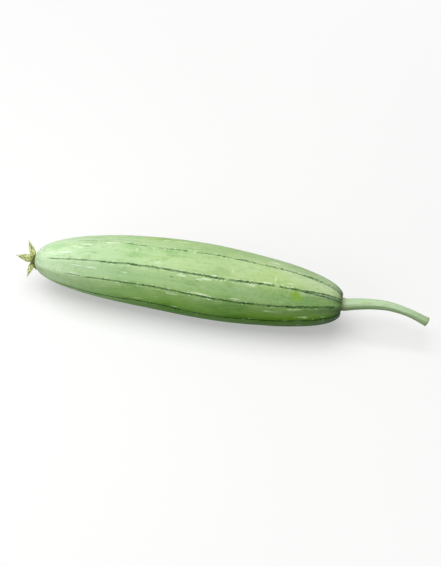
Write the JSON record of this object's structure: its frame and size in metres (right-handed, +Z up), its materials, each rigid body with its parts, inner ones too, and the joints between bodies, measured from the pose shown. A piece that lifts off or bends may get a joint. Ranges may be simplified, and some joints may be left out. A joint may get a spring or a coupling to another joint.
{
  "type": "sponge gourd",
  "caption": "Smooth green sponge gourd lying on its side, with dark lengthwise veins, a pale curved stem and a withered flower star.",
  "frame": {"origin": "on the flat patch that the gourd rests on, straight below its centre of mass", "axes": "+X along the fruit from the blossom end to the stem, +Z up, +Y to the side that the fruit bows towards"},
  "size_m": [0.3854, 0.0695, 0.0687],
  "materials": {
    "gourd_skin": "satin waxy green skin with dark veins and pale flecks",
    "green_stem": "matte pale green stalk with fine lengthwise ridges",
    "dry_sepal": "matte half-dry yellow-green leaf with brown spots",
    "withered_flower": "matte dark brown withered flower"
  },
  "bodies": {
    "root": {"fruit": "gourd_skin", "stem": "green_stem", "calyx_ring": "withered_flower", "sepal_1": "dry_sepal", "sepal_2": "dry_sepal", "sepal_3": "dry_sepal", "sepal_4": "dry_sepal", "sepal_5": "dry_sepal", "style_stub": "withered_flower"}
  },
  "joints": []
}
